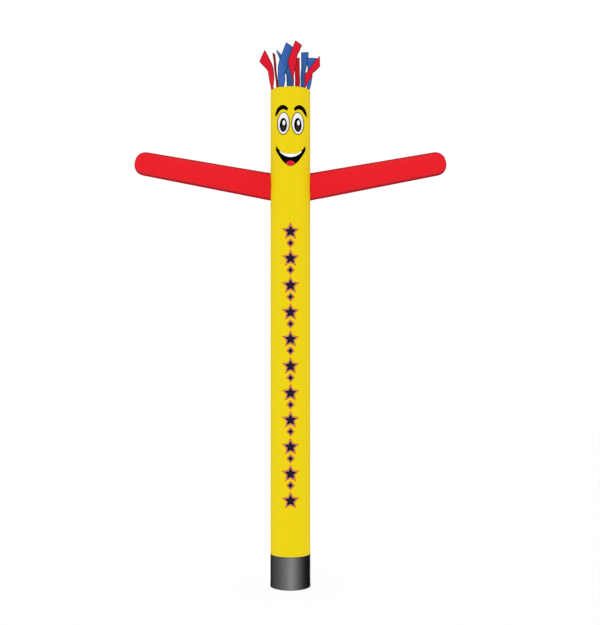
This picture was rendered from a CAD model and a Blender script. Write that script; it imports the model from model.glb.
"""An inflatable air dancer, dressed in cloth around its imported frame.

A yellow ripstop tube stands on a glossy black sleeve. Two red arms, a domed top panel and
nine loose strips of hair are sewn to it, and a face and a row of stars are printed on its
front. Everything is in metres, +Z up, and the front faces -Y.
"""

import logging
import math
from collections.abc import Callable, Iterable, Sequence
from dataclasses import astuple, dataclass, field
from enum import Enum
from functools import cache, cached_property

import bmesh
import bpy
from bmesh.types import BMesh
from mathutils import Matrix, Vector, noise


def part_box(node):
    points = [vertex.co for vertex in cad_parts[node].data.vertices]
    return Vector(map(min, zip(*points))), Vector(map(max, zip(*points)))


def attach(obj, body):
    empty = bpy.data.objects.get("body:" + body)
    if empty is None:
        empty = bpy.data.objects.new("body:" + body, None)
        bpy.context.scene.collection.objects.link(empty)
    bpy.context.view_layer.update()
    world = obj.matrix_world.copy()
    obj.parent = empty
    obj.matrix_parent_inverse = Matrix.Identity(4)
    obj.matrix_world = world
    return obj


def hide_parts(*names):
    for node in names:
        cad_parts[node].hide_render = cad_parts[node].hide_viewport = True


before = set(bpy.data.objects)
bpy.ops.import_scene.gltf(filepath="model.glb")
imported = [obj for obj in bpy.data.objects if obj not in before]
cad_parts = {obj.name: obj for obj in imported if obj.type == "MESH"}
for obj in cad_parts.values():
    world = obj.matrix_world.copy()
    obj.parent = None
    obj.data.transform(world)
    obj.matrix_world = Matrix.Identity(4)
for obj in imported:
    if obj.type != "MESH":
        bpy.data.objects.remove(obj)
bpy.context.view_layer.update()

log = logging.getLogger("air_dancer")

BODY = "root"
MILLIMETRE = 0.001
CLOTH_UV = "cloth"  # each piece's UV map is its flat cloth, in metres
EDGE_DISTANCE = "edge_distance"  # a vertex attribute: metres from the cloth's nearest edge
WELD_DISTANCE = 1e-5
MATT = 0.08  # the specular level of cloth and ink

Inputs = dict[str | int, object]
Surface = Callable[[float, float], Vector]
Distance = Callable[[float, float], float]
Line = Sequence[tuple[float, float]]


# ------------------------------------------------------------------------------ choices


class Slot(Enum):
    """The record's material slots."""

    YELLOW = "yellow_ripstop"
    RED = "red_ripstop"
    HAIR_RED = "hair_red"
    HAIR_BLUE = "hair_blue"
    BLACK = "black_sleeve"


class Held(Enum):
    """How a sheet of cloth is held."""

    BLOWN_UP = "stretched"
    BY_ITS_ROOT = "hung"


@dataclass(frozen=True)
class Colour:
    """A dye or an ink, as screen values from 0 to 255."""

    red: int
    green: int
    blue: int

    @property
    def linear(self) -> tuple[float, ...]:
        """The colour with its alpha, as a shader takes it."""
        shares = [value / 255 for value in (self.red, self.green, self.blue)]
        return (*(s / 12.92 if s <= 0.04045 else ((s + 0.055) / 1.055) ** 2.4 for s in shares), 1.0)

    def shaded(self, share: float) -> "Colour":
        """The colour with only a share of its light."""
        return Colour(*(round(value * share) for value in (self.red, self.green, self.blue)))


class Ink(Enum):
    """The inks on the front."""

    BLACK = Colour(6, 3, 5)
    OUTLINE = Colour(78, 68, 6)
    WHITE = Colour(255, 255, 255)
    IRIS = Colour(50, 42, 54)
    TONGUE = Colour(224, 30, 52)
    NAVY = Colour(40, 26, 52)
    PALE = Colour(226, 190, 160)
    ORANGE = Colour(228, 72, 34)


# ------------------------------------------------------------------------- shader nodes


class NodeBoard:
    """Adds nodes to one node tree and joins them."""

    def __init__(self, tree: bpy.types.NodeTree) -> None:
        """Takes the tree to work on."""
        self.tree = tree

    def plug(self, node: bpy.types.Node, inputs: Inputs) -> bpy.types.Node:
        """Fills a node's sockets.

        Args:
            node: The node.
            inputs: What goes into each socket: another node's output, or a value.

        Returns:
            The same node.
        """
        for socket, value in inputs.items():
            if isinstance(value, bpy.types.NodeSocket):
                self.tree.links.new(value, node.inputs[socket])
            else:
                node.inputs[socket].default_value = value
        return node

    def add(self, kind: str, inputs: Inputs | None = None, **settings: object) -> bpy.types.Node:
        """Adds a node.

        Args:
            kind: The node's type.
            inputs: What goes into each socket: another node's output, or a value.
            settings: The node's own options.

        Returns:
            The node.
        """
        node = self.tree.nodes.new(kind)
        for name, value in settings.items():
            setattr(node, name, value)
        return self.plug(node, inputs or {})

    def math(self, operation: str, *values: object) -> bpy.types.NodeSocket:
        """Adds a sum of one or more values and returns its result."""
        return self.add("ShaderNodeMath", dict(enumerate(values)), operation=operation).outputs[0]

    def vector(self, operation: str, inputs: Inputs) -> bpy.types.NodeSocket:
        """Adds a sum of vectors and returns its result."""
        return self.add("ShaderNodeVectorMath", inputs, operation=operation).outputs[0]

    def ramp(self, inputs: Inputs) -> bpy.types.NodeSocket:
        """Adds a smooth ramp from one range to another and returns its result."""
        return self.add("ShaderNodeMapRange", inputs, interpolation_type="SMOOTHSTEP").outputs[0]

    def blend(self, share: object, first: object, second: object) -> bpy.types.NodeSocket:
        """Blends two colours by a share and returns the blend."""
        inputs = {0: share, 6: first, 7: second}
        return self.add("ShaderNodeMix", inputs, data_type="RGBA").outputs[2]

    def emboss(self, height: bpy.types.NodeSocket, strength: float) -> bpy.types.NodeSocket:
        """Raises a surface by a height, a fifth of a millimetre at most, and returns its normal."""
        inputs = {"Height": height, "Strength": strength, "Distance": 0.2 * MILLIMETRE}
        return self.add("ShaderNodeBump", inputs).outputs[0]


def new_group(
    name: str, takes: dict[str, str], gives: Sequence[str]
) -> tuple[NodeBoard, bpy.types.bpy_prop_collection, bpy.types.Node]:
    """Starts a shader node group.

    Args:
        name: The group's name.
        takes: Its inputs, each with its kind: Float or Vector.
        gives: Its outputs, which are all numbers.

    Returns:
        A board to build it on, its inputs' sockets and the node that its outputs plug into.
    """
    tree = bpy.data.node_groups.new(name, "ShaderNodeTree")
    for label, kind in takes.items():
        tree.interface.new_socket(label, in_out="INPUT", socket_type=f"NodeSocket{kind}")
    for label in gives:
        tree.interface.new_socket(label, in_out="OUTPUT", socket_type="NodeSocketFloat")
    board = NodeBoard(tree)
    return board, board.add("NodeGroupInput").outputs, board.add("NodeGroupOutput")


@cache
def weave_group() -> bpy.types.NodeTree:
    """Builds the ripstop weave: fine threads crossed by a grid of thick ones.

    Returns:
        A group that takes the flat cloth, the pitch of its threads and the size of the grid's
        cells, and gives the height, the mask of the thick threads and a slow mottling.
    """
    kinds = {"Cloth": "Vector", "Thread": "Float", "Cell": "Float"}
    board, takes, end = new_group("ripstop_weave", kinds, ("Height", "Grid", "Mottling"))
    cloth = takes["Cloth"]
    per_thread = board.math("DIVIDE", math.tau, takes["Thread"])
    threads = board.vector("SCALE", {0: cloth, "Scale": per_thread})
    wave = board.add("ShaderNodeSeparateXYZ", {0: board.vector("SINE", {0: threads})})
    crossing = board.math("MULTIPLY", wave.outputs["X"], wave.outputs["Y"])
    cells = board.vector("SCALE", {0: cloth, "Scale": board.math("DIVIDE", 1.0, takes["Cell"])})
    within = board.vector("FRACTION", {0: cells})
    centred = board.vector("SUBTRACT", {0: within, 1: (0.5, 0.5, 0)})
    across = board.add("ShaderNodeSeparateXYZ", {0: board.vector("ABSOLUTE", {0: centred})})
    from_middle = board.math("MAXIMUM", across.outputs["X"], across.outputs["Y"])
    grid = board.ramp({"Value": from_middle, "From Min": 0.42, "From Max": 0.5})
    mottling = board.add("ShaderNodeTexNoise", {"Vector": cloth, "Scale": 9.0, "Detail": 4.0})
    height = board.math("ADD", board.math("MULTIPLY", crossing, 0.25), grid)
    board.plug(end, {"Height": height, "Grid": grid, "Mottling": mottling.outputs[0]})
    return board.tree


@cache
def band_group() -> bpy.types.NodeTree:
    """Builds the band along a cloth's edge.

    Returns:
        A group that takes the distance from the edge and the band's width, and gives a mask
        that is 1 in the band.
    """
    board, takes, end = new_group("edge_band", {"Distance": "Float", "Width": "Float"}, ("Mask",))
    span = {"From Min": board.math("MULTIPLY", takes["Width"], 0.45), "From Max": takes["Width"]}
    mask = board.ramp({"Value": takes["Distance"], **span, "To Min": 1.0, "To Max": 0.0})
    board.plug(end, {"Mask": mask})
    return board.tree


def edge_band(board: NodeBoard, width: float) -> bpy.types.NodeSocket:
    """Adds the band along the cloth's edge.

    Args:
        board: The material's board.
        width: The band's width.

    Returns:
        The band's mask.
    """
    distance = board.add("ShaderNodeAttribute", attribute_name=EDGE_DISTANCE)
    inputs = {"Distance": distance.outputs["Fac"], "Width": width}
    return board.add("ShaderNodeGroup", inputs, node_tree=band_group()).outputs["Mask"]


@dataclass(frozen=True)
class Weave:
    """A weave, by the pitch of its threads and the size of its grid's cells."""

    thread: float
    cell: float

    def outputs(self, board: NodeBoard) -> bpy.types.bpy_prop_collection:
        """Adds the weave on the piece's flat cloth.

        Args:
            board: The material's board.

        Returns:
            Its node's outputs: Height, Grid and Mottling.
        """
        flat = board.add("ShaderNodeUVMap", uv_map=CLOTH_UV)
        inputs = {"Cloth": flat.outputs["UV"], "Thread": self.thread, "Cell": self.cell}
        return board.add("ShaderNodeGroup", inputs, node_tree=weave_group()).outputs


RIPSTOP = Weave(thread=0.7 * MILLIMETRE, cell=6 * MILLIMETRE)
SCRIM = Weave(thread=1.1 * MILLIMETRE, cell=9 * MILLIMETRE)


def new_material(name: str) -> tuple[bpy.types.Material, NodeBoard, bpy.types.Node]:
    """Starts a material.

    Args:
        name: The material's name.

    Returns:
        The material, a board for its nodes and its Principled shader.
    """
    material = bpy.data.materials.new(name)
    material.use_nodes = True
    tree = material.node_tree
    return material, NodeBoard(tree), tree.nodes["Principled BSDF"]


@dataclass(frozen=True)
class Finish:
    """What every finish shares: a named material with a Principled shader."""

    name: str

    @cache
    def material(self) -> bpy.types.Material:
        """Builds the finish's material, once.

        Returns:
            The material.
        """
        material, board, shader = new_material(self.name)
        board.plug(shader, self.looks(board))
        return material

    def looks(self, board: NodeBoard) -> Inputs:
        """What goes into the sockets of the finish's shader."""
        raise NotImplementedError


@dataclass(frozen=True)
class ClothFinish(Finish):
    """Ripstop nylon: its dye and the shade of its edges."""

    dye: Colour
    edge_dye: Colour
    edge_width: float

    def looks(self, board: NodeBoard) -> Inputs:
        """Mottles the dye, darkens a grid of its threads and shades its edge.

        Args:
            board: The material's board.

        Returns:
            What goes into the sockets of its shader.
        """
        weave = RIPSTOP.outputs(board)
        mottled = board.blend(weave["Mottling"], self.dye.linear, self.dye.shaded(0.975).linear)
        threads = board.math("MULTIPLY", weave["Grid"], 0.35)
        woven = board.blend(threads, mottled, self.dye.shaded(0.93).linear)
        return {
            "Base Color": board.blend(
                edge_band(board, self.edge_width), woven, self.edge_dye.linear
            ),
            "Roughness": 0.5,
            "Specular IOR Level": MATT,
            "Normal": board.emboss(weave["Height"], strength=0.35),
        }


@dataclass(frozen=True)
class VinylFinish(Finish):
    """Coated polyester: a glossy face over a coarse scrim, with matt edges."""

    face: Colour
    edge_width: float
    roughness: float
    edge_roughness: float
    wear: float = 0.06  # how much the roughness varies

    def looks(self, board: NodeBoard) -> Inputs:
        """Scuffs the face slightly, and makes its edge rough and dark.

        Args:
            board: The material's board.

        Returns:
            What goes into the sockets of its shader.
        """
        weave = SCRIM.outputs(board)
        band = edge_band(board, self.edge_width)
        scuffs = board.math("MULTIPLY", weave["Mottling"], self.wear)
        worn = board.math("ADD", scuffs, self.roughness - self.wear / 2)
        spread = {"Value": band, "To Min": worn, "To Max": self.edge_roughness}
        return {
            "Base Color": board.blend(band, self.face.linear, self.face.shaded(0.3).linear),
            "Roughness": board.add("ShaderNodeMapRange", spread).outputs[0],
            "Specular IOR Level": 0.5,
            "Normal": board.emboss(weave["Height"], strength=0.08),
        }


@dataclass(frozen=True)
class InkFinish(Finish):
    """Ink on ripstop: the weave shows through it."""

    ink: Colour

    def looks(self, board: NodeBoard) -> Inputs:
        """Lays an almost even colour over the weave.

        Args:
            board: The material's board.

        Returns:
            What goes into the sockets of its shader.
        """
        weave = RIPSTOP.outputs(board)
        faded = self.ink.shaded(0.985).linear
        return {
            "Base Color": board.blend(weave["Mottling"], self.ink.linear, faded),
            "Roughness": 0.55,
            "Specular IOR Level": MATT,
            "Normal": board.emboss(weave["Height"], strength=0.25),
        }


@dataclass(frozen=True)
class ThreadFinish(Finish):
    """Twisted polyester sewing thread."""

    dye: Colour

    def looks(self, board: NodeBoard) -> Inputs:
        """Breaks up the dye with the thread's fine twist.

        Args:
            board: The material's board.

        Returns:
            What goes into the sockets of its shader.
        """
        place = board.add("ShaderNodeTexCoord").outputs["Object"]
        twist = board.add("ShaderNodeTexNoise", {"Vector": place, "Scale": 900.0}).outputs[0]
        return {
            "Base Color": board.blend(twist, self.dye.linear, self.dye.shaded(0.8).linear),
            "Roughness": 0.6,
            "Normal": board.emboss(twist, strength=0.5),
        }


YELLOW = Colour(240, 213, 12)
RED = Colour(238, 27, 39)
HAIR_RED = Colour(224, 22, 46)
HAIR_BLUE = Colour(56, 106, 184)

YELLOW_CLOTH = ClothFinish("yellow_ripstop", YELLOW, Colour(250, 232, 92), 9 * MILLIMETRE)
TOP_CLOTH = ClothFinish("yellow_top_panel", YELLOW, YELLOW.shaded(0.9), 6 * MILLIMETRE)
RED_CLOTH = ClothFinish("red_ripstop", RED, Colour(176, 22, 36), 76 * MILLIMETRE)
HAIR_CLOTHS = {
    Slot.HAIR_RED: ClothFinish("hair_red", HAIR_RED, Colour(122, 14, 34), 12 * MILLIMETRE),
    Slot.HAIR_BLUE: ClothFinish("hair_blue", HAIR_BLUE, Colour(30, 60, 112), 12 * MILLIMETRE),
}
SHADED_RED_HAIR = ClothFinish(
    "hair_red_shaded", Colour(166, 24, 44), Colour(104, 16, 34), 16 * MILLIMETRE
)
BLACK_VINYL = VinylFinish(
    "black_vinyl", Colour(17, 17, 19), 8 * MILLIMETRE, roughness=0.4, edge_roughness=0.8
)
THREADS = {
    Slot.YELLOW: ThreadFinish("yellow_thread", YELLOW.shaded(0.88)),
    Slot.RED: ThreadFinish("red_thread", RED.shaded(0.7)),
    Slot.BLACK: ThreadFinish("black_thread", Colour(52, 52, 54)),
}


# -------------------------------------------------------------------- cutting and sewing


def spaced(*zones: tuple[float, int]) -> list[float]:
    """Spaces the rows of a panel, close together where its shape is fine.

    Args:
        zones: Where each zone ends and its number of steps. The first has 0 steps, and is
            where the panel starts.

    Returns:
        The place of each row.
    """
    places = [zones[0][0]]
    for end, steps in zones[1:]:
        start = places[-1]
        places += [start + (end - start) * (i + 1) / steps for i in range(steps)]
    return places


def cut_panel(across: Sequence[float], along: Sequence[float]) -> BMesh:
    """Cuts a flat panel of cloth.

    Args:
        across: The places of its columns.
        along: The places of its rows.

    Returns:
        The panel, lying in the XY plane.
    """
    panel = bmesh.new()
    columns, rows = len(across) - 1, len(along) - 1
    bmesh.ops.create_grid(panel, x_segments=columns, y_segments=rows, size=0.5)
    for vertex in panel.verts:
        column = round((vertex.co.x + 0.5) * columns)
        row = round((vertex.co.y + 0.5) * rows)
        vertex.co = (across[column], along[row], 0)
    return panel


def keep_flat_uv(panel: BMesh, size: tuple[float, float] = (1.0, 1.0)) -> None:
    """Writes the flat cloth into a panel's UV map.

    Args:
        panel: The panel, still flat.
        size: The cloth's own size for each unit of the panel.
    """
    uv = panel.loops.layers.uv.get(CLOTH_UV) or panel.loops.layers.uv.new(CLOTH_UV)
    for face in panel.faces:
        for loop in face.loops:
            loop[uv].uv = (loop.vert.co.x * size[0], loop.vert.co.y * size[1])


def form(
    panel: BMesh,
    surface: Surface,
    edge_distance: Distance,
    size: tuple[float, float] = (1.0, 1.0),
) -> None:
    """Forms a flat panel into its blown up shape.

    Args:
        panel: The flat panel.
        surface: Gives the place in space of each place on the panel.
        edge_distance: Gives how far each place on the panel is from the cloth's edge.
        size: The cloth's own size for each unit of the panel.
    """
    keep_flat_uv(panel, size)
    layer = panel.verts.layers.float.new(EDGE_DISTANCE)
    for vertex in panel.verts:
        vertex[layer] = edge_distance(vertex.co.x, vertex.co.y)
        vertex.co = surface(vertex.co.x, vertex.co.y)


def weld(shape: BMesh) -> None:
    """Joins the edges of a mesh that meet."""
    bmesh.ops.remove_doubles(shape, verts=shape.verts[:], dist=WELD_DISTANCE)


def face_outwards(shape: BMesh) -> None:
    """Turns the faces of a mesh outwards."""
    bmesh.ops.recalc_face_normals(shape, faces=shape.faces[:])


def join(shapes: Iterable[BMesh]) -> BMesh:
    """Joins meshes into one.

    Args:
        shapes: The meshes, which are used up.

    Returns:
        The joined mesh.
    """
    joined = bmesh.new()
    for shape in shapes:
        scrap = bpy.data.meshes.new("scrap")
        shape.to_mesh(scrap)
        shape.free()
        joined.from_mesh(scrap)
        bpy.data.meshes.remove(scrap)
    return joined


def add_object(name: str, data: bpy.types.ID) -> bpy.types.Object:
    """Adds an object to the scene.

    Args:
        name: Its name.
        data: Its mesh, light or camera.

    Returns:
        The object.
    """
    thing = bpy.data.objects.new(name, data)
    bpy.context.scene.collection.objects.link(thing)
    return thing


def make_piece(
    name: str,
    shape: BMesh,
    finishes: Sequence[Finish],
    slot: Slot,
    thickness: float = 0.0,
    outward: float = -1.0,
) -> bpy.types.Object:
    """Makes a finished piece of the dancer.

    Args:
        name: The piece's name.
        shape: Its mesh, in place. It is used up.
        finishes: Its finishes, in the order of its faces' material numbers.
        slot: The record's material slot that it follows.
        thickness: How thick its cloth is made.
        outward: Where the thickness goes: -1 is inside the mesh, and 1 is outside it.

    Returns:
        The piece, riding on the dancer.
    """
    mesh = bpy.data.meshes.new(name)
    shape.to_mesh(mesh)
    shape.free()
    for polygon in mesh.polygons:
        polygon.use_smooth = True
    for finish in finishes:
        mesh.materials.append(finish.material())
    piece = add_object(name, mesh)
    if thickness:
        solidify = piece.modifiers.new("cloth", "SOLIDIFY")
        solidify.thickness = thickness
        solidify.offset = outward
    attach(piece, BODY)
    log.info("%s: %d faces", name, len(mesh.polygons))
    return piece


def around(turn: float, reach: float, height: float = 0.0) -> Vector:
    """The place at a turn from the front, towards +X, and a reach from the column's axis."""
    return Vector((math.sin(turn) * reach, -math.cos(turn) * reach, height))


def crinkle(place: Vector, grain: tuple[float, float, float], seed: float = 0.0) -> float:
    """Gives an uneven ripple between -1 and 1.

    Args:
        place: Where on the cloth.
        grain: How many ripples a metre has along each axis.
        seed: Sets one stretch of ripples apart from another.

    Returns:
        The ripple's height there.
    """
    x, y, z = grain
    return noise.noise(Vector((place.x * x, place.y * y, place.z * z + seed)))


def fading(distance: float, reach: float) -> float:
    """How much of a seam's pucker is left at a distance from it."""
    return math.exp(-((distance / reach) ** 2))


def smooth_step(start: float, end: float, value: float) -> float:
    """Rises smoothly from 0 at the start to 1 at the end."""
    share = min(1.0, max(0.0, (value - start) / (end - start)))
    return share * share * (3 - 2 * share)


def on_curve(rows: Sequence[Sequence[float]], share: float, roundness: float) -> list[float]:
    """Follows a rounded curve through rows of numbers.

    Args:
        rows: The rows that it goes through.
        share: How far along it, from 0 to 1.
        roundness: Of its bends: 0 is creased and 0.5 is smooth.

    Returns:
        The row of numbers there.
    """
    place = min(1.0, max(0.0, share)) * (len(rows) - 1)
    index = min(int(place), len(rows) - 2)
    t = place - index
    here, after = rows[index], rows[index + 1]
    before = rows[index - 1] if index else [2 * a - b for a, b in zip(here, after)]
    last = index + 2 == len(rows)
    beyond = [2 * b - a for a, b in zip(here, after)] if last else rows[index + 2]
    found = []
    for a, b, c, d in zip(before, here, after, beyond):
        leaving, arriving = roundness * (c - a), roundness * (d - b)
        cubic = 2 * (b - c) + leaving + arriving
        square = 3 * (c - b) - 2 * leaving - arriving
        found.append(((cubic * t + square) * t + leaving) * t + b)
    return found


@dataclass(frozen=True)
class Stitching:
    """Rows of lockstitches, each stitch a short raised thread."""

    pitch: float = 6.5 * MILLIMETRE
    length: float = 4.6 * MILLIMETRE
    width: float = 1.1 * MILLIMETRE
    rise: float = 0.9 * MILLIMETRE

    def row(self, seam: Surface, run_length: float) -> BMesh:
        """Sews one row.

        Args:
            seam: Gives the seam's place at a distance along it and a height off the cloth.
            run_length: How long the row is.

        Returns:
            The row's stitches.
        """
        stitches = bmesh.new()
        step = self.length / 2
        for number in range(int(run_length / self.pitch)):
            along = (number + 0.5) * self.pitch
            middle = seam(along, 0)
            run = (seam(along + step, 0) - seam(along - step, 0)).normalized()
            outward = (seam(along, step) - middle).normalized()
            side = outward.cross(run).normalized()
            axes = Matrix((run * self.length, side * self.width, side.cross(-run) * self.rise))
            place = Matrix.Translation(middle) @ axes.transposed().to_4x4()
            bmesh.ops.create_cube(stitches, size=1, matrix=place)
        return stitches

    def piece(
        self, name: str, rows: Sequence[tuple[Surface, float]], slot: Slot
    ) -> bpy.types.Object:
        """Sews several rows as one piece.

        Args:
            name: The piece's name.
            rows: Each row's seam and length.
            slot: The material slot of the cloth that it holds.

        Returns:
            The piece.
        """
        joined = join(self.row(seam, run_length) for seam, run_length in rows)
        face_outwards(joined)
        return make_piece(name, joined, [THREADS[slot]], slot)


def ring(surface: Callable[[float, float, float], Vector], height: float) -> Surface:
    """A level seam round a tube, at a height."""
    return lambda along, off: surface(along, height, off)


# --------------------------------------------------------------------------- the column


@dataclass
class ArmRoot:
    """The tall slot in the column that an arm is sewn round."""

    height: float = 4.682
    half_height: float = 0.1495
    half_depth: float = 0.052

    def reach(self, depth: float, height: float) -> float:
        """How far out a place on the column's side is: 1 is on the seam."""
        return math.hypot(depth / self.half_depth, (height - self.height) / self.half_height)

    def turn(self, depth: float, height: float) -> float:
        """Which way round the slot a place on the column's side is."""
        return math.atan2((height - self.height) / self.half_height, depth / self.half_depth)


@dataclass
class BodyTube:
    """The yellow tube, with its rolled rim, its hem, its felled back seam and its armholes."""

    root: ArmRoot
    radius: float = 0.2325
    thickness: float = 1 * MILLIMETRE
    seam_width: float = 14 * MILLIMETRE
    seam_rise: float = 1.5 * MILLIMETRE
    hem: float = 25 * MILLIMETRE
    hem_rise: float = 1 * MILLIMETRE
    fold: float = 1 * MILLIMETRE  # the step at a folded edge, from side to side
    rim_roll: float = 6 * MILLIMETRE
    pucker: float = 1.6 * MILLIMETRE
    rim_reach: float = 0.05  # how far the rim's puckers run
    seam_reach: float = 0.03  # and those of the hem and the back seam
    seam_pucker: float = 0.8  # of the back seam, times the others
    armhole_pucker: float = 1.5  # times the others
    armhole_reach: float = 0.7  # of its puckers, in sizes of the slot
    armhole: float = 0.86  # its size, in sizes of the slot
    slack: float = 0.3 * MILLIMETRE
    stitch_inset: float = 4 * MILLIMETRE
    columns: int = 264
    bottom: float = field(default_factory=lambda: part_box("body_tube")[0].z)
    top: float = field(default_factory=lambda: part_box("body_tube")[1].z)

    @property
    def girth(self) -> float:
        """The tube's length round."""
        return math.tau * self.radius

    @property
    def hem_top(self) -> float:
        """The height of the hem's upper fold."""
        return self.bottom + self.hem

    def on_side(self, place: Vector) -> bool:
        """Whether a place is on one of the sides, where the arms are."""
        return abs(place.x) > self.radius * 0.8

    def relief(self, turn: float, height: float) -> float:
        """How far the cloth stands off a plain tube.

        Args:
            turn: Radians round the column from its front, towards +X.
            height: Metres above the ground.

        Returns:
            The distance outwards.
        """
        place = around(turn, self.radius, height)
        from_seam = (math.pi - abs(turn)) * self.radius
        edge, fold = self.seam_width / 2, self.fold
        rise = self.seam_rise * (1 - smooth_step(edge - fold, edge + fold, from_seam))
        hem_top = self.hem_top
        rise += self.hem_rise * (1 - smooth_step(hem_top, hem_top + 2 * fold, height))
        roll = max(0.0, self.rim_roll - (self.top - height))
        rise -= self.rim_roll - math.sqrt(self.rim_roll**2 - roll**2) if roll else 0.0
        near_rim = fading(self.top - height, self.rim_reach)
        near_hem = fading(abs(height - hem_top), self.seam_reach)
        near_seam = fading(max(0.0, from_seam - edge), self.seam_reach)
        rise += self.pucker * crinkle(place, (40, 40, 5)) * (near_rim + near_hem)
        level = crinkle(place, (6, 6, 34), seed=9.0)
        rise += self.pucker * level * near_seam * self.seam_pucker
        if self.on_side(place):
            out = self.root.reach(place.y, height) - 1
            way = self.root.turn(place.y, height)
            spokes = crinkle(Vector((math.cos(way), math.sin(way), place.x)), (4, 4, 1))
            near_slot = fading(max(0.0, out), self.armhole_reach) * smooth_step(-0.3, 0.1, out)
            rise += self.pucker * self.armhole_pucker * spokes * near_slot
        return rise + self.slack * crinkle(place, (3, 3, 1.2), seed=4.0)

    def surface(self, turn: float, height: float, offset: float = 0.0) -> Vector:
        """A place on the blown up tube, or off it by an offset."""
        return around(turn, self.radius + offset + self.relief(turn, height), height)

    def rolled(self, arc: float, height: float, offset: float = 0.0) -> Vector:
        """A place on the tube, by its distance round from the back seam."""
        return self.surface(arc / self.radius - math.pi, height, offset)

    def cloth(self) -> bpy.types.Object:
        """Cuts, rolls and seams the tube.

        Returns:
            The tube's piece.
        """
        fine = 4 * self.seam_width / 5
        across = spaced((0, 0), (fine, 6), (self.girth - fine, self.columns - 12), (self.girth, 6))
        root = self.root
        slot_low = root.height - root.half_height - 0.06
        slot_high = root.height + root.half_height + 0.06
        along = spaced(
            (self.bottom, 0), (self.hem_top - self.fold, 4), (self.hem_top + 3 * self.fold, 3),
            (self.bottom + 0.12, 8), (slot_low, 42), (slot_high, 34), (self.top - 0.16, 14),
            (self.top - self.rim_roll, 14), (self.top, 4),
        )
        panel = cut_panel(across, along)
        form(panel, self.rolled, lambda _, height: height - self.bottom)
        weld(panel)
        cut_out = []
        for face in panel.faces:
            middle = face.calc_center_median()
            if self.on_side(middle) and root.reach(middle.y, middle.z) < self.armhole:
                cut_out.append(face)
        bmesh.ops.delete(panel, geom=cut_out, context="FACES")
        face_outwards(panel)
        return make_piece("tube_cloth", panel, [YELLOW_CLOTH], Slot.YELLOW, self.thickness)

    def stitches(self) -> bpy.types.Object:
        """Sews the rim, the hem and both sides of the back seam.

        Returns:
            The stitches' piece.
        """

        def upright(turn: float) -> Surface:
            """A seam up the tube, at a turn."""
            return lambda along, off: self.surface(turn, self.bottom + along, off)

        rings = [
            self.top - 12 * MILLIMETRE, self.bottom + 6 * MILLIMETRE,
            self.hem_top - self.stitch_inset,
        ]
        seam_turn = math.pi - (self.seam_width / 2 - self.stitch_inset) / self.radius
        rows = [(ring(self.rolled, height), self.girth) for height in rings]
        rows += [(upright(side * seam_turn), self.top - self.bottom) for side in (-1, 1)]
        return Stitching().piece("tube_stitches", rows, Slot.YELLOW)


@dataclass
class Sleeve:
    """The glossy black sleeve at the foot, its narrower top lapped inside the yellow tube."""

    tube: BodyTube
    thickness: float = 1.6 * MILLIMETRE
    radius: float = 0.2345
    lap_radius: float = 0.2302
    shoulder: float = 6 * MILLIMETRE
    hem: float = 40 * MILLIMETRE
    hem_rise: float = 2 * MILLIMETRE
    hem_slope: float = 9 * MILLIMETRE
    slack: float = 0.35 * MILLIMETRE
    columns: int = 240
    top: float = field(default_factory=lambda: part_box("base_sleeve")[1].z)

    def surface(self, arc: float, height: float, offset: float = 0.0) -> Vector:
        """Gives a place on the sleeve, or off it by an offset.

        Args:
            arc: Metres round from the back.
            height: Metres above the ground.
            offset: Metres outwards.

        Returns:
            The place in space.
        """
        turn = arc / self.tube.radius - math.pi
        visible = self.tube.bottom
        narrowing = smooth_step(visible - self.shoulder, visible, height)
        above_hem = smooth_step(self.hem - self.hem_slope, self.hem + self.hem_slope, height)
        reach = self.radius + (self.lap_radius - self.radius) * narrowing
        reach += self.hem_rise * (1 - above_hem)
        dent = crinkle(around(turn, reach, height), (5, 5, 3), seed=2.0)
        reach += self.slack * dent * smooth_step(0, 0.06, height)
        return around(turn, reach + offset, height)

    def cloth(self) -> bpy.types.Object:
        """Cuts, rolls and welds the sleeve.

        Returns:
            The sleeve's piece.
        """
        visible = self.tube.bottom
        along = spaced(
            (0, 0), (self.hem - self.hem_slope, 5), (self.hem + self.hem_slope, 6),
            (visible - self.shoulder, 26), (visible, 5), (self.top, 4),
        )
        panel = cut_panel(spaced((0, 0), (self.tube.girth, self.columns)), along)
        form(panel, self.surface, lambda _, height: min(height, abs(visible - height)))
        weld(panel)
        face_outwards(panel)
        return make_piece("sleeve_vinyl", panel, [BLACK_VINYL], Slot.BLACK, self.thickness)

    def stitches(self) -> bpy.types.Object:
        """Sews the hem.

        Returns:
            The stitches' piece.
        """
        rings = [self.hem - 5 * MILLIMETRE, self.hem - 12 * MILLIMETRE]
        rows = [(ring(self.surface, height), self.tube.girth) for height in rings]
        return Stitching().piece("sleeve_stitches", rows, Slot.BLACK)


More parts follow.
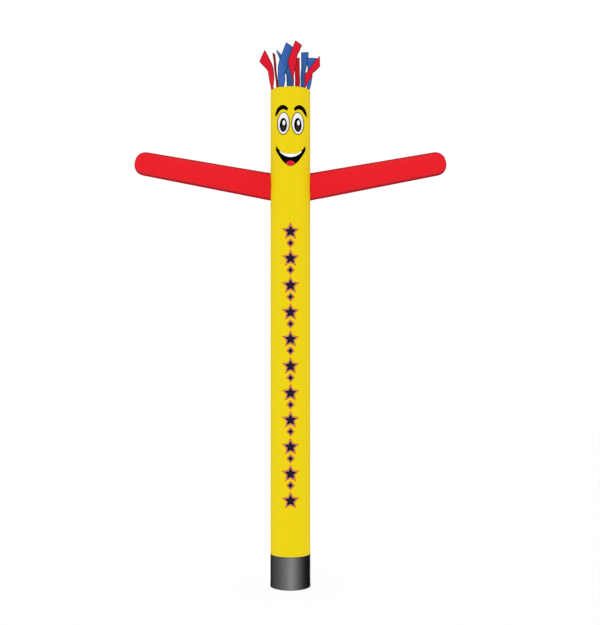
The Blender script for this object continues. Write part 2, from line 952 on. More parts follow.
@dataclass
class TopPanel:
    """The domed panel that closes the tube, its gathered edge turned down inside the rim."""

    tube: BodyTube
    rise: float = 28 * MILLIMETRE
    flange: float = 20 * MILLIMETRE
    drop: float = 1 * MILLIMETRE  # of its fold below the rim
    gather: float = 2.4 * MILLIMETRE
    gather_reach: float = 0.05
    columns: int = 192

    @property
    def edge(self) -> float:
        """How far out its fold is."""
        return self.tube.radius - self.tube.thickness

    def surface(self, arc: float, along: float) -> Vector:
        """Gives a place on the panel.

        Args:
            arc: Metres round the rim from the front.
            along: Metres of cloth from the panel's middle.

        Returns:
            The place in space.
        """
        edge = self.edge
        out = min(along, edge)
        direction = around(arc / self.tube.radius, 1)
        height = self.tube.top + self.rise * (1 - (out / edge) ** 2) - max(0.0, along - edge)
        gathers = crinkle(direction, (9, 9, 0), seed=1.0) * fading(edge - out, self.gather_reach)
        slack = crinkle(direction * out, (7, 7, 0), seed=6.0) * 4 * (out / edge) * (1 - out / edge)
        height += self.gather * (gathers + slack) * smooth_step(self.flange, 0, along - edge)
        return direction * out + Vector((0, 0, height - self.drop))

    def cloth(self) -> bpy.types.Object:
        """Cuts the round panel, domes it and turns its edge down.

        Returns:
            The panel's piece.
        """
        edge = self.edge
        fine = edge - self.gather_reach
        along = spaced((0, 0), (fine, 16), (edge, 14), (edge + self.flange, 4))
        panel = cut_panel(spaced((0, 0), (self.tube.girth, self.columns)), along)
        form(panel, self.surface, lambda _, out: abs(edge - out))
        weld(panel)
        face_outwards(panel)
        keep_flat_uv(panel)
        return make_piece("top_panel", panel, [TOP_CLOTH], Slot.YELLOW, self.tube.thickness)


# ----------------------------------------------------------------------------- the arms


@dataclass
class Arm:
    """A red arm: two panels sewn face to face, with the seam's allowance left outside.

    The right arm is worked out here, and the left one is the same arm turned half round.
    """

    node: str
    half_turns: int
    tube: BodyTube
    lift: float = math.radians(10.35)
    swell: float = 0.3
    tip_radius: float = 0.1295
    length: float = 1.485
    tip_length: float = 0.1275
    tip_squareness: float = 2.25
    seam: float = 10 * MILLIMETRE
    seam_thickness: float = 1.6 * MILLIMETRE
    thickness: float = 1 * MILLIMETRE
    half_width: float = 0.22  # of a panel, flat, without its seam allowances
    tip_cloth: float = 0.21  # the flat length that goes round the tip
    pucker: float = 2.2 * MILLIMETRE
    pucker_reach: float = 0.045
    gather: float = 1.6  # of its root, times its puckers
    gather_reach: float = 0.16
    slack: float = 0.4 * MILLIMETRE
    wave: float = 0.8 * MILLIMETRE  # of the seam's free edge
    root_blend: float = 0.12  # over which the root bends to the column's round side
    root_shade: float = 44 * MILLIMETRE  # how far into the edge's shade the root starts
    root_fade: float = 4  # how fast the root's shade ends, times that of the edge
    edge_fade: float = 8  # and that of the free edge, which catches the light

    @property
    def end(self) -> float:
        """The flat length of a panel."""
        return self.length + self.tip_cloth

    def outline(self, along: float) -> Vector:
        """The outline of the arm's upper side, by the flat distance along it.

        Args:
            along: Metres of cloth from the column.

        Returns:
            The distance out along the axis, and the half height there.
        """
        if along < self.length:
            taper = (self.tip_radius - self.tube.root.half_height) * along / self.length
            return Vector((along, self.tube.root.half_height + taper))
        reach = math.sin(min(1.0, (along - self.length) / self.tip_cloth) * math.pi / 2)
        power = self.tip_squareness
        half_height = self.tip_radius * max(0.0, 1 - reach**power) ** (1 / power)
        return Vector((self.length + self.tip_length * reach, half_height))

    def outline_normal(self, along: float) -> Vector:
        """Gives the way out of the outline.

        Args:
            along: Metres of cloth from the column.

        Returns:
            A vector of length 1: how far out along the axis, and how far up it.
        """
        step = 0.5 * MILLIMETRE
        run = self.outline(min(along + step, self.end)) - self.outline(along - step)
        return Vector((-run.y, run.x)).normalized()

    def start(self, height: float, depth: float) -> float:
        """Where along the axis a thread of the arm meets the column."""
        edge = math.sqrt(self.tube.radius**2 - depth**2)
        return (edge - self.tube.radius + height * math.sin(self.lift)) / math.cos(self.lift)

    def in_place(self, out: float, height: float, depth: float) -> Vector:
        """Turns a place on the arm into one in space.

        Args:
            out: Metres out along its axis.
            height: Metres up from its axis.
            depth: Metres back.

        Returns:
            The place in space.
        """
        across = Vector((-math.sin(self.lift), 0, math.cos(self.lift)))
        along = Vector((math.cos(self.lift), 0, math.sin(self.lift)))
        root = Vector((self.tube.radius, 0, self.tube.root.height))
        place = root + along * out + across * height + Vector((0, depth, 0))
        return Matrix.Rotation(math.pi * self.half_turns, 3, "Z") @ place

    def relief(self, flat: Vector, upper: float, along: float, from_seam: float) -> float:
        """How far the cloth stands off a plain arm.

        Args:
            flat: Where on its panel, with the panel's side as its depth.
            upper: 1 for the panel's upper half and -1 for its lower half.
            along: Metres of flat cloth from the column.
            from_seam: Metres of flat cloth from the seam.

        Returns:
            The distance outwards.
        """
        near_root = fading(along, self.gather_reach)
        gathers = crinkle(flat, (9, 60, 5), seed=self.half_turns) * near_root
        puckers = crinkle(flat, (45, 7, 3), seed=7.0 + upper) * fading(from_seam, self.pucker_reach)
        gathers *= smooth_step(0, 0.03, along)
        puckers *= smooth_step(0, 0.02, from_seam)
        slack = self.slack * crinkle(flat, (4, 4, 5), seed=3.0)
        return self.pucker * (self.gather * gathers + puckers) + slack

    def surface(self, face: int, across: float, along: float, offset: float = 0.0) -> Vector:
        """A place on one of the arm's two panels, or off it by an offset.

        Args:
            face: -1 for the panel at the front and 1 for the one at the back.
            across: Metres of flat cloth from the panel's middle line, upwards.
            along: Metres of flat cloth from the column.
            offset: Metres outwards.

        Returns:
            The place in space.
        """
        upper = math.copysign(1, across)
        turn = max(-1.0, min(1.0, across / self.half_width)) * math.pi / 2
        out, half_height = self.outline(along)
        root = self.tube.root
        pinch = (1 - root.half_depth / root.half_height) * fading(max(0.0, out), self.swell)
        half_depth = half_height * (1 - pinch)
        from_seam = max(0.0, self.half_width - abs(across))
        flat = Vector((along, across * upper, face))
        relief = self.relief(flat, upper, along, from_seam) + offset
        height = math.sin(turn) * (half_height + relief)
        depth = face * math.cos(turn) * (half_depth + relief)
        into_root = self.start(height, depth) * (1 - smooth_step(0, self.root_blend, along))
        beyond = max(0.0, abs(across) - self.half_width)
        wave = self.wave * crinkle(Vector((along, upper, 0)), (30, 3, 1))
        normal = self.outline_normal(along) * beyond
        depth += face * (self.seam_thickness / 2 + offset) * smooth_step(0.02, 0, from_seam)
        depth += wave * min(1.0, beyond / self.seam)
        return self.in_place(out + into_root + normal.x, height + upper * normal.y, depth)

    def shade_distance(self, across: float, along: float) -> float:
        """Gives how far a place is from the seams, as its shade goes.

        Args:
            across: Metres of flat cloth from the panel's middle line.
            along: Metres of flat cloth from the column.

        Returns:
            The distance in metres.
        """
        inside = self.half_width - abs(across)
        from_edge = inside if inside > 0 else -self.edge_fade * inside
        return min(from_edge, self.root_fade * along + self.root_shade)

    def panel(self, face: int) -> BMesh:
        """Cuts and forms one panel.

        Args:
            face: -1 for the panel at the front and 1 for the one at the back.

        Returns:
            The panel, in place.
        """
        edge = self.half_width + self.seam
        across = spaced(
            (-edge, 0), (-self.half_width, 2), (-0.17, 8), (0.17, 26), (self.half_width, 8),
            (edge, 2),
        )
        along = spaced(
            (0, 0), (0.02, 4), (0.2, 22), (0.5, 18), (self.length - 0.05, 42), (self.length, 4),
            (self.end, 26),
        )
        panel = cut_panel(across, along)
        form(panel, lambda x, y: self.surface(face, x, y), self.shade_distance)
        weld(panel)
        return panel

    def cloth(self) -> bpy.types.Object:
        """Sews both panels together along their edges.

        Returns:
            The arm's piece.
        """
        shape = join(self.panel(face) for face in (-1, 1))
        face_outwards(shape)
        return make_piece(f"{self.node}_cloth", shape, [RED_CLOTH], Slot.RED, self.thickness)

    def stitches(self) -> bpy.types.Object:
        """Sews the seam round the arm and the one that holds it to the column.

        Returns:
            The stitches' piece.
        """
        allowance = self.half_width + self.seam * 0.45
        lift, from_column = 0.2 * MILLIMETRE, 9 * MILLIMETRE

        def seam(face: int, upper: int) -> Surface:
            """The seam along an edge of a panel."""
            return lambda along, off: self.surface(face, upper * allowance, along, off + lift)

        def root(face: int) -> Surface:
            """The seam that holds a panel to the column."""
            return lambda along, off: self.surface(face, along - self.half_width, from_column, off)

        rows = [(seam(face, upper), self.end - 0.01) for face in (-1, 1) for upper in (-1, 1)]
        rows += [(root(face), 2 * self.half_width) for face in (-1, 1)]
        return Stitching().piece(f"{self.node}_stitches", rows, Slot.RED)


# ----------------------------------------------------------------------------- the hair


@dataclass(frozen=True)
class Row:
    """One row of a strip: its middle, its turn and tip in degrees, and its width.

    The turn is about the vertical, from facing the front, and the tip is off the level.
    """

    x: float
    y: float
    z: float
    turn: float
    tip: float
    width: float


@dataclass
class HairStrip:
    """A loose strip of ripstop, sewn in at the rim and blown about by the air."""

    node: str
    slot: Slot
    rim: float  # degrees round the column from its front
    root_turn: float
    root_width: float
    rows: Sequence[Row]
    root_radius: float = 0.223
    root_depth: float = 12 * MILLIMETRE
    thickness: float = 1 * MILLIMETRE
    roundness: float = 0.2  # of its bends: 0 is creased and 0.5 is smooth
    cup: float = 0.07
    ripple: float = 1.5 * MILLIMETRE
    hem: float = 4 * MILLIMETRE  # outside the strip's measured width, each side and at its end
    root_seam: float = 20 * MILLIMETRE  # how far up from its root it is folded into the seam
    finish: ClothFinish | None = None
    steps_per_row: int = 10
    measured_steps: int = 40
    short_step: float = 0.0005  # along it, to find which way it runs

    @cached_property
    def all_rows(self) -> list[tuple[float, ...]]:
        """The strip's rows, from its root on.

        Returns:
            Each row's numbers, in the order of a row's fields.
        """
        turn = math.radians(self.rim)
        x, y = self.root_radius * math.sin(turn), -self.root_radius * math.cos(turn)
        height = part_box("body_tube")[1].z - self.root_depth
        root = Row(x, y, height, self.root_turn, 0, self.root_width)
        return [astuple(row) for row in (root, *self.rows)]

    def at(self, share: float) -> list[float]:
        """The row's numbers at a share of the way from the root, along a rounded curve."""
        return on_curve(self.all_rows, share, self.roundness)

    def surface(self, across: float, share: float) -> Vector:
        """Gives a place on the strip.

        Args:
            across: Widths from its middle line, from -0.5 to 0.5.
            share: How far up it, from 0 at its root to 1 at its end.

        Returns:
            The place in space.
        """
        x, y, z, turn, tip, width = self.at(share)
        loose = min(1.0, share * len(self.rows))
        width += 2 * self.hem * loose
        turn, tip = math.radians(turn), math.radians(tip)
        level = math.cos(tip)
        widthways = Vector((math.cos(turn) * level, math.sin(turn) * level, math.sin(tip)))
        step = self.short_step
        run = (Vector(self.at(share + step)[:3]) - Vector(self.at(share - step)[:3])).normalized()
        outward = run.cross(widthways).normalized()
        curl = self.cup * width * (2 * across) ** 2 * loose
        flat = Vector((across * width, share * 0.5, self.rim))
        curl += self.ripple * crinkle(flat, (14, 12, 1)) * loose
        end = run * self.hem * smooth_step(0.85, 1, share)
        return Vector((x, y, z)) + widthways * across * width + outward * curl + end

    def cut_size(self) -> tuple[float, float]:
        """Measures the strip's cloth.

        Returns:
            Its widest width, square to its length, and its length.
        """
        shares = [i / self.measured_steps for i in range(self.measured_steps + 1)]
        rows = [[self.surface(across, share) for across in (-0.5, 0, 0.5)] for share in shares]
        steps = [(b[1] - a[1]).length for a, b in zip(rows, rows[1:])]
        areas = [(b[2] - a[0]).cross(b[0] - a[2]).length / 2 for a, b in zip(rows, rows[1:])]
        return max(area / step for area, step in zip(areas, steps)), sum(steps)

    def cloth(self) -> bpy.types.Object:
        """Cuts the strip and hangs it in the air.

        Returns:
            The strip's piece.
        """
        width, length = self.cut_size()

        def edge_distance(across: float, share: float) -> float:
            """How far a place is from the strip's edges, of which the root is in the seam."""
            from_side = (0.5 - abs(across)) * self.at(share)[5]
            return min(from_side, (1 - share) * length, max(0.0, share * length - self.root_seam))

        across = spaced((-0.5, 0), (-0.4, 3), (0.4, 8), (0.5, 3))
        panel = cut_panel(across, spaced((0, 0), (1, self.steps_per_row * len(self.rows))))
        form(panel, self.surface, edge_distance, (width, length))
        finish = self.finish or HAIR_CLOTHS[self.slot]
        strip = make_piece(f"{self.node}_strip", panel, [finish], self.slot, self.thickness, 0.0)
        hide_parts(self.node)
        return strip


HAIR = [
    HairStrip("hair_1_red", Slot.HAIR_RED, -140, 40, 0.055, [
        Row(-0.160, 0.180, 5.980, 60, 0, 0.050),
        Row(-0.175, 0.190, 6.095, 72, 0, 0.075),
        Row(-0.182, 0.195, 6.205, 72, 0, 0.085),
        Row(-0.194, 0.200, 6.302, 70, 0, 0.085),
    ], finish=SHADED_RED_HAIR),
    HairStrip("hair_2_red", Slot.HAIR_RED, -70, -70, 0.070, [
        Row(-0.222, -0.085, 5.915, -54, 0, 0.095),
        Row(-0.232, -0.085, 6.020, -42, 6, 0.085),
        Row(-0.250, -0.090, 6.070, -36, 25, 0.090),
        Row(-0.275, -0.090, 6.110, -28, 42, 0.100),
        Row(-0.330, -0.080, 6.200, -16, 63, 0.140),
    ]),
    HairStrip("hair_3_blue", Slot.HAIR_BLUE, -26, -26, 0.060, [
        Row(-0.100, -0.210, 5.880, -20, 0, 0.080),
        Row(-0.103, -0.210, 5.950, -14, 0, 0.080),
        Row(-0.085, -0.210, 6.040, -6, -15, 0.110),
        Row(-0.070, -0.205, 6.095, 0, -32, 0.115),
        Row(0.000, -0.195, 6.285, 10, -34, 0.110),
    ]),
    HairStrip("hair_4_red", Slot.HAIR_RED, 9, 9, 0.010, [
        Row(0.035, -0.240, 5.870, 34, 0, 0.014),
        Row(0.030, -0.245, 5.905, 32, 0, 0.020),
        Row(0.025, -0.255, 5.960, 26, 7, 0.046),
        Row(0.025, -0.265, 6.070, 16, -5, 0.100),
        Row(0.040, -0.270, 6.150, 6, -2, 0.080),
        Row(0.095, -0.275, 6.290, -8, -36, 0.088),
    ]),
    HairStrip("hair_5_red", Slot.HAIR_RED, 48, 48, 0.016, [
        Row(0.190, -0.160, 5.885, 44, -4, 0.055),
        Row(0.210, -0.165, 5.935, 36, -13, 0.095),
        Row(0.237, -0.175, 5.989, 28, -43, 0.056),
        Row(0.340, -0.190, 6.105, 15, -88, 0.115),
    ]),
    HairStrip("hair_6_blue", Slot.HAIR_BLUE, 67, 67, 0.075, [
        Row(0.220, -0.085, 5.865, 57, -4, 0.085),
        Row(0.230, -0.090, 5.945, 48, 0, 0.080),
        Row(0.235, -0.090, 6.030, 36, 0, 0.070),
        Row(0.240, -0.090, 6.105, 18, 0, 0.085),
        Row(0.250, -0.085, 6.170, 4, -1, 0.115),
    ]),
    HairStrip("hair_7_blue", Slot.HAIR_BLUE, 142, -38, 0.058, [
        Row(0.145, 0.185, 5.960, -38, 0, 0.065),
        Row(0.145, 0.195, 6.060, -38, 0, 0.065),
        Row(0.155, 0.200, 6.145, -34, 0, 0.070),
        Row(0.165, 0.205, 6.205, -20, 0, 0.080),
        Row(0.170, 0.215, 6.325, -8, 0, 0.085),
    ]),
    HairStrip("hair_8_red", Slot.HAIR_RED, 160, -20, 0.052, [
        Row(0.081, 0.220, 5.970, -26, 0, 0.060),
        Row(0.076, 0.230, 6.095, -38, 0, 0.068),
        Row(0.073, 0.240, 6.260, -46, 0, 0.080),
    ]),
    HairStrip("hair_9_blue", Slot.HAIR_BLUE, 180, 0, 0.085, [
        Row(-0.008, 0.230, 5.985, 4, 0, 0.076),
        Row(-0.015, 0.230, 6.055, 10, -4, 0.070),
        Row(-0.050, 0.235, 6.135, 16, -17, 0.095),
        Row(-0.073, 0.245, 6.220, 24, -27, 0.130),
        Row(-0.122, 0.250, 6.322, 36, -38, 0.132),
    ]),
]


# ---------------------------------------------------------------------------- the print


@dataclass
class FrontPrint:
    """Ink shapes, drawn flat as the front shows them and laid on the tube in thin layers."""

    tube: BodyTube
    layer_step: float = 0.5 * MILLIMETRE
    ink_thickness: float = 0.35 * MILLIMETRE
    bend_step: float = 12 * MILLIMETRE

    def ellipse(self, middle: Vector, half_width: float, half_height: float) -> BMesh:
        """Draws a filled ellipse.

        Args:
            middle: Its middle.
            half_width: Half its width.
            half_height: Half its height.

        Returns:
            The ellipse, flat.
        """
        shape = bmesh.new()
        bmesh.ops.create_circle(shape, cap_ends=True, segments=80, radius=1)
        bmesh.ops.scale(shape, vec=(half_width, half_height, 1), verts=shape.verts[:])
        bmesh.ops.translate(shape, vec=(middle.x, middle.y, 0), verts=shape.verts[:])
        return shape

    def band(
        self, lower: Callable[[float], Vector], upper: Callable[[float], Vector], steps: int = 48
    ) -> BMesh:
        """Draws the band between two lines.

        Args:
            lower: The lower line, from -1 to 1 along it.
            upper: The upper line.
            steps: How many steps it takes along them.

        Returns:
            The band, flat.
        """
        shape = cut_panel(spaced((-1, 0), (1, steps)), spaced((0, 0), (1, 4)))
        for vertex in shape.verts:
            vertex.co = lower(vertex.co.x).lerp(upper(vertex.co.x), vertex.co.y).to_3d()
        return shape

    def lay(self, shape: BMesh, layer: int) -> BMesh:
        """Lays a flat shape on the tube.

        Args:
            shape: The shape, flat, with X to the right and Y up the column.
            layer: Which layer of ink it is, from 1.

        Returns:
            The same shape, in place.
        """
        low = min(vertex.co.x for vertex in shape.verts)
        high = max(vertex.co.x for vertex in shape.verts)
        for number in range(1, int((high - low) / self.bend_step) + 1):
            everything = shape.verts[:] + shape.edges[:] + shape.faces[:]
            cut = (low + number * self.bend_step, 0, 0)
            bmesh.ops.bisect_plane(shape, geom=everything, plane_co=cut, plane_no=(1, 0, 0))
        keep_flat_uv(shape)
        face_outwards(shape)
        for vertex in shape.verts:
            turn = math.asin(vertex.co.x / self.tube.radius)
            vertex.co = self.tube.surface(turn, vertex.co.y, layer * self.layer_step)
        shape.normal_update()
        if sum(face.normal.y * face.calc_area() for face in shape.faces) > 0:
            bmesh.ops.reverse_faces(shape, faces=shape.faces[:])
        return shape

    def piece(self, name: str, layers: Sequence[tuple[Ink, int, BMesh]]) -> bpy.types.Object:
        """Joins ink shapes into one printed piece.

        Args:
            name: The piece's name.
            layers: Each shape with its ink and its layer.

        Returns:
            The piece.
        """
        inks = list(dict.fromkeys(ink for ink, _, _ in layers))
        shapes = []
        for ink, layer, shape in layers:
            shapes.append(self.lay(shape, layer))
            for face in shape.faces:
                face.material_index = inks.index(ink)
        finishes = [InkFinish(f"ink_{ink.name.lower()}", ink.value) for ink in inks]
        return make_piece(name, join(shapes), finishes, Slot.YELLOW, self.ink_thickness)


@dataclass
class Face:
    """The printed face: two eyes, two brows and a wide smile.

    An axis is how far right of the column's middle a feature's own middle is.
    """

    paper: FrontPrint
    eye_axis: float = 4 * MILLIMETRE
    eye_out: float = 0.083
    eye_height: float = 5.3795
    eye_half: tuple[float, float] = (0.0745, 0.132)
    eye_line: float = 10 * MILLIMETRE
    pupil_shift: tuple[float, float] = (0, -0.0175)
    pupil_half: tuple[float, float] = (0.0425, 0.081)
    iris_shift: tuple[float, float] = (0, -0.032)
    iris_half: tuple[float, float] = (0.025, 0.036)
    glint_shift: tuple[float, float] = (0.0065, 0.024)
    glint_half: tuple[float, float] = (0.016, 0.030)
    brow_axis: float = 9 * MILLIMETRE
    brow_upper: Line = (
        (0.187, 5.466), (0.171, 5.540), (0.134, 5.583), (0.0955, 5.593), (0.057, 5.577),
        (0.033, 5.551),
    )
    brow_lower: Line = (
        (0.187, 5.466), (0.158, 5.489), (0.126, 5.530), (0.091, 5.542), (0.064, 5.533),
        (0.044, 5.519),
    )
    lip_axis: float = 5 * MILLIMETRE
    lip_height: float = 5.0286
    lip_half_width: float = 0.1675
    lip_rise: float = 0.105
    lip_power: float = 3
    chin_axis: float = 3 * MILLIMETRE
    chin_height: float = 4.8853
    chin_half_width: float = 0.1725
    chin_rise: float = 0.196
    chin_power: float = 1.8
    teeth_half_width: float = 0.125
    teeth_inset: float = 2 * MILLIMETRE
    teeth_depth: float = 0.039
    teeth_rise: float = 0.065
    teeth_power: float = 2.16
    tongue_half_width: float = 0.054
    tongue_inset: float = 3 * MILLIMETRE
    tongue_height: float = 0.064
    tongue_fall: float = 0.028

    def eyes(self) -> bpy.types.Object:
        """Prints both eyes: outline, white, pupil, iris and glint.

        Returns:
            The eyes' piece.
        """
        layers = []
        wide, tall = self.eye_half
        ellipse = self.paper.ellipse
        for side in (-1, 1):
            middle = Vector((self.eye_axis + side * self.eye_out, self.eye_height))
            pupil = middle + Vector(self.pupil_shift)
            layers += [
                (Ink.OUTLINE, 1, ellipse(middle, wide, tall)),
                (Ink.WHITE, 2, ellipse(middle, wide - self.eye_line, tall - self.eye_line)),
                (Ink.BLACK, 3, ellipse(pupil, *self.pupil_half)),
                (Ink.IRIS, 4, ellipse(pupil + Vector(self.iris_shift), *self.iris_half)),
                (Ink.WHITE, 5, ellipse(pupil + Vector(self.glint_shift), *self.glint_half)),
            ]
        return self.paper.piece("print_eyes", layers)

    def brow(self, side: int) -> BMesh:
        """Draws one arched brow, pointed at its outer end and blunt at its inner one.

        Args:
            side: -1 for the left brow and 1 for the right one.

        Returns:
            The brow, flat.
        """

        def edge(line: Line, part: float) -> Vector:
            """A place on one of the brow's two lines."""
            out, height = on_curve(line, (part + 1) / 2, 0.5)
            return Vector((self.brow_axis + side * out, height))

        return self.paper.band(
            lambda part: edge(self.brow_lower, part), lambda part: edge(self.brow_upper, part)
        )

    def brows(self) -> bpy.types.Object:
        """Prints both brows."""
        shapes = [(Ink.BLACK, 1, self.brow(side)) for side in (-1, 1)]
        return self.paper.piece("print_brows", shapes)

    def lip(self, part: float) -> Vector:
        """A place on the smile's upper line, by its share of the way to a corner."""
        rise = self.lip_rise * abs(part) ** self.lip_power
        return Vector((self.lip_axis + self.lip_half_width * part, self.lip_height + rise))

    def chin(self, part: float) -> Vector:
        """Gives a place on the smile's lower line.

        Args:
            part: Its share of the way to a corner.

        Returns:
            The place, flat.
        """
        axis = self.chin_axis + (self.lip_axis - self.chin_axis) * abs(part)
        rise = self.chin_rise * abs(part) ** self.chin_power
        return Vector((axis + self.chin_half_width * part, self.chin_height + rise))

    def teeth_top(self, part: float) -> Vector:
        """A place on the upper line of the teeth, just below the lip."""
        on_lip = self.lip(part * self.teeth_half_width / self.lip_half_width)
        return on_lip - Vector((0, self.teeth_inset))

    def teeth_bottom(self, part: float) -> Vector:
        """Gives a place on the lower line of the teeth.

        Args:
            part: Its share of the way to their end.

        Returns:
            The place, flat.
        """
        out = self.lip_axis + self.teeth_half_width * part
        rise = self.teeth_rise * abs(part) ** self.teeth_power
        return Vector((out, self.lip_height - self.teeth_depth + rise))

    def tongue_top(self, part: float) -> Vector:
        """A place on the upper line of the tongue."""
        out = self.chin_axis + self.tongue_half_width * part
        return Vector((out, self.chin_height + self.tongue_height - self.tongue_fall * part**2))

    def tongue_bottom(self, part: float) -> Vector:
        """A place on the lower line of the tongue, just above the chin."""
        on_chin = self.chin(part * self.tongue_half_width / self.chin_half_width)
        return on_chin + Vector((0, self.tongue_inset))

    def smile(self) -> bpy.types.Object:
        """Prints the mouth with its teeth and tongue.

        Returns:
            The smile's piece.
        """
        band = self.paper.band
        return self.paper.piece("print_smile", [
            (Ink.BLACK, 1, band(self.chin, self.lip, steps=72)),
            (Ink.WHITE, 2, band(self.teeth_bottom, self.teeth_top)),
            (Ink.TONGUE, 2, band(self.tongue_bottom, self.tongue_top, steps=24)),
        ])


@dataclass
class StarColumn:
    """A plain row of stars and diamonds down the front."""

    paper: FrontPrint
    axis: float = 3 * MILLIMETRE
    low: float = 1.034
    high: float = 4.134
    stars: int = 11
    star_radius: float = 0.106
    star_waist: float = 0.5  # its inner corners' radius as a share of the outer one
    diamond_half: tuple[float, float] = (0.050, 0.056)
    diamond_lift: float = 11 * MILLIMETRE
    outline: float = 9 * MILLIMETRE
    pale_line: float = 5 * MILLIMETRE

    def motif(
        self, middle: Vector, corners: int, half: tuple[float, float], waist: float
    ) -> list[BMesh]:
        """Draws one motif as three shapes, one inside the other.

        Args:
            middle: Its middle.
            corners: How many points it has.
            half: Its half width and half height.
            waist: The inner corners' radius as a share of the outer one.

        Returns:
            The outline, the pale line and the fill.
        """
        shapes = []
        for inset in (0.0, self.outline, self.outline + self.pale_line):
            shape = bmesh.new()
            bmesh.ops.create_circle(shape, cap_ends=True, segments=2 * corners, radius=1)
            for vertex in shape.verts:
                way = math.atan2(vertex.co.y, vertex.co.x) - math.pi / 2
                step = round(way * corners / math.pi)
                turn = math.pi / 2 + step * math.pi / corners
                share = waist if step % 2 else 1.0
                vertex.co = (math.cos(turn) * share * half[0], math.sin(turn) * share * half[1], 0)
            if inset:
                rim = bmesh.ops.inset_region(
                    shape, faces=shape.faces[:], thickness=inset, use_boundary=True,
                    use_even_offset=True,
                )
                bmesh.ops.delete(shape, geom=rim["faces"], context="FACES")
            bmesh.ops.translate(shape, vec=(middle.x, middle.y, 0), verts=shape.verts[:])
            shapes.append(shape)
        return shapes

    def motifs(self) -> bpy.types.Object:
        """Prints the whole row.

        Returns:
            The row's piece.
        """
        layers = []
        pitch = (self.high - self.low) / (self.stars - 1)
        star_low = -self.star_radius * math.cos(math.pi / 5)
        between = (star_low + self.star_radius - pitch) / 2 + self.diamond_lift
        for number in range(2 * self.stars - 1):
            middle = Vector((self.axis, self.high - number // 2 * pitch))
            if number % 2:
                middle.y += between
                shapes = self.motif(middle, 4, self.diamond_half, waist=math.cos(math.pi / 4))
            else:
                shapes = self.motif(middle, 5, (self.star_radius,) * 2, self.star_waist)
            inks = (Ink.ORANGE, Ink.PALE, Ink.NAVY)
            layers += [(ink, layer, shape) for layer, ink, shape in zip((1, 2, 3), inks, shapes)]
        return self.paper.piece("print_stars", layers)


# --------------------------------------------------------------------------- the studio


@dataclass(frozen=True)
class Softbox:
    """A softbox: its bearing from the front in degrees, to the right, its width and brightness."""

    bearing: float
    width: float
    radiance: float


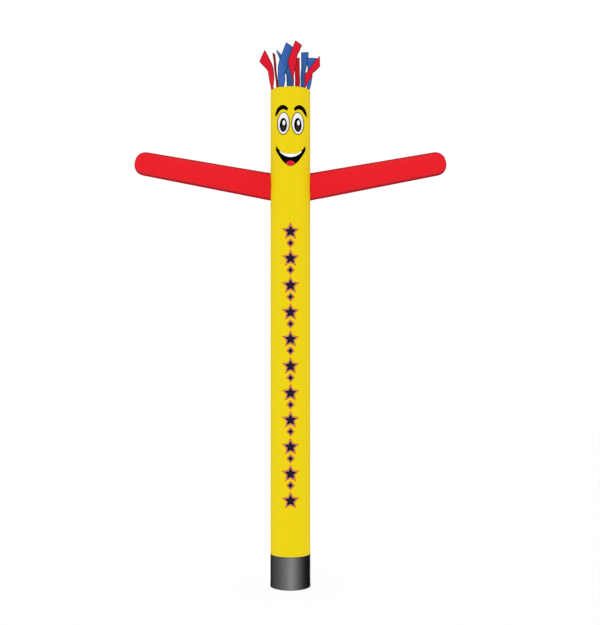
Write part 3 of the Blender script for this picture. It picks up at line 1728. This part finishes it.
@dataclass
class Studio:
    """A white studio with a pale floor, soft light and the camera."""

    image_height: int = 625
    focal_length: float = 962.0  # in pixels of the image
    camera_place: tuple[float, float, float] = (0.1122, -11.3, 2.9025)
    horizon_drop: float = 25.9  # pixels below the middle of the image
    sensor: float = 36.0
    key_energy: float = 0.16
    key_size: float = math.radians(40)
    key_tilt: float = math.radians(58)
    key_bearing: float = math.radians(-24)
    floor_radius: float = 30.0
    floor_depth: float = 1 * MILLIMETRE  # below the foot
    floor_glow: float = 0.94  # how much of the floor is plain white
    bank_distance: float = 3.2
    bank_height: float = 3.4
    bank_middle: float = -0.5  # the camera looks down at the foot, so the foot mirrors what is low
    bank: Sequence[Softbox] = (
        Softbox(-112, 1.4, 0.5), Softbox(-86, 1.4, 1.1), Softbox(-61, 1.4, 2.1),
        Softbox(-36, 1.4, 3.5), Softbox(-12, 1.2, 5.6), Softbox(8, 1.0, 8.0),
        Softbox(27, 1.1, 4.4), Softbox(47, 1.1, 2.3), Softbox(67, 1.1, 0.9),
        Softbox(165, 1.6, 1.8),
    )

    def camera(self) -> None:
        """Sets up the camera, level, at a little under half the dancer's height."""
        data = bpy.data.cameras.new("camera")
        data.sensor_width = self.sensor
        data.lens = self.focal_length * self.sensor / self.image_height
        data.shift_y = self.horizon_drop / self.image_height
        camera = add_object("camera", data)
        camera.location = self.camera_place
        camera.rotation_euler = (math.pi / 2, 0, 0)
        bpy.context.scene.camera = camera

    def world(self) -> None:
        """Lights the room evenly in white, and keeps its walls out of reflections."""
        world = bpy.data.worlds.new("white_room")
        world.use_nodes = True
        world.node_tree.nodes["Background"].inputs["Color"].default_value = (1.0, 1.0, 1.0, 1.0)
        world.cycles_visibility.glossy = False
        bpy.context.scene.world = world
        bpy.context.scene.view_settings.view_transform = "Standard"

    def key_light(self) -> None:
        """Hangs a soft key light, up and to the left of the camera."""
        data = bpy.data.lights.new("key", "SUN")
        data.energy = self.key_energy
        data.angle = self.key_size
        add_object("key", data).rotation_euler = (self.key_tilt, 0, self.key_bearing)

    def light_bank(self, glossy: Sequence[bpy.types.Object]) -> None:
        """Stands softboxes round the foot, for the glossy pieces alone.

        Args:
            glossy: The pieces that they light.
        """
        lit = bpy.data.collections.new("glossy_pieces")
        for piece in glossy:
            lit.objects.link(piece)
        for number, box in enumerate(self.bank):
            data = bpy.data.lights.new(f"softbox_{number}", "AREA")
            data.shape = "RECTANGLE"
            data.size, data.size_y = box.width, self.bank_height
            data.energy = box.radiance * math.pi * box.width * self.bank_height
            light = add_object(f"softbox_{number}", data)
            place = around(math.radians(box.bearing), 1) * self.bank_distance
            light.location = place + Vector((0, 0, self.bank_middle))
            light.rotation_euler = (-place).to_track_quat("-Z", "Y").to_euler()
            light.visible_diffuse = False
            light.light_linking.receiver_collection = lit

    def floor(self) -> None:
        """Lays the floor, which fades into the white room."""
        shape = bmesh.new()
        bmesh.ops.create_circle(shape, cap_ends=True, segments=96, radius=self.floor_radius)
        mesh = bpy.data.meshes.new("floor")
        shape.to_mesh(mesh)
        shape.free()
        material, board, shader = new_material("pale_floor")
        white = Colour(250, 250, 250).linear
        board.plug(shader, {"Base Color": white, "Roughness": 0.9, "Specular IOR Level": 0.0})
        glow = board.add("ShaderNodeEmission").outputs[0]
        shades = {0: self.floor_glow, 1: shader.outputs[0], 2: glow}
        mix = board.add("ShaderNodeMixShader", shades).outputs[0]
        board.plug(material.node_tree.nodes["Material Output"], {"Surface": mix})
        mesh.materials.append(material)
        floor = add_object("floor", mesh)
        floor.location.z = -self.floor_depth
        floor.visible_glossy = floor.visible_shadow = False


# ------------------------------------------------------------------------- the assembly


def dress_column(studio: Studio) -> BodyTube:
    """Dresses the tube, its print, the sleeve and the top panel.

    Args:
        studio: The studio, which lights the sleeve.

    Returns:
        The tube, which the arms are sewn to.
    """
    tube = BodyTube(ArmRoot())
    paper = FrontPrint(tube)
    face = Face(paper)
    cloth = tube.cloth()
    on_cloth = [
        tube.stitches(), face.eyes(), face.brows(), face.smile(), StarColumn(paper).motifs()
    ]
    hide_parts("body_tube")
    sleeve = Sleeve(tube)
    vinyl, hem_stitches = sleeve.cloth(), sleeve.stitches()
    studio.light_bank([vinyl, hem_stitches])
    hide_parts("base_sleeve")
    panel = TopPanel(tube)
    top = panel.cloth()
    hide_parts("crown")
    return tube


def dress_arms(tube: BodyTube) -> None:
    """Dresses both arms.

    Args:
        tube: The tube that they are sewn to.
    """
    for half_turns, node in enumerate(("arm_right", "arm_left")):
        arm = Arm(node, half_turns, tube)
        cloth = arm.cloth()
        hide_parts(node)
        arm.stitches()


def main() -> None:
    """Builds the studio, then the dancer from the column out."""
    logging.basicConfig(level=logging.INFO, format="%(name)s: %(message)s")
    studio = Studio()
    studio.camera()
    studio.world()
    studio.key_light()
    studio.floor()
    tube = dress_column(studio)
    dress_arms(tube)
    for strip in HAIR:
        strip.cloth()
    log.info("built %d strips of hair, two arms and the column", len(HAIR))


if __name__ == "__main__":
    main()
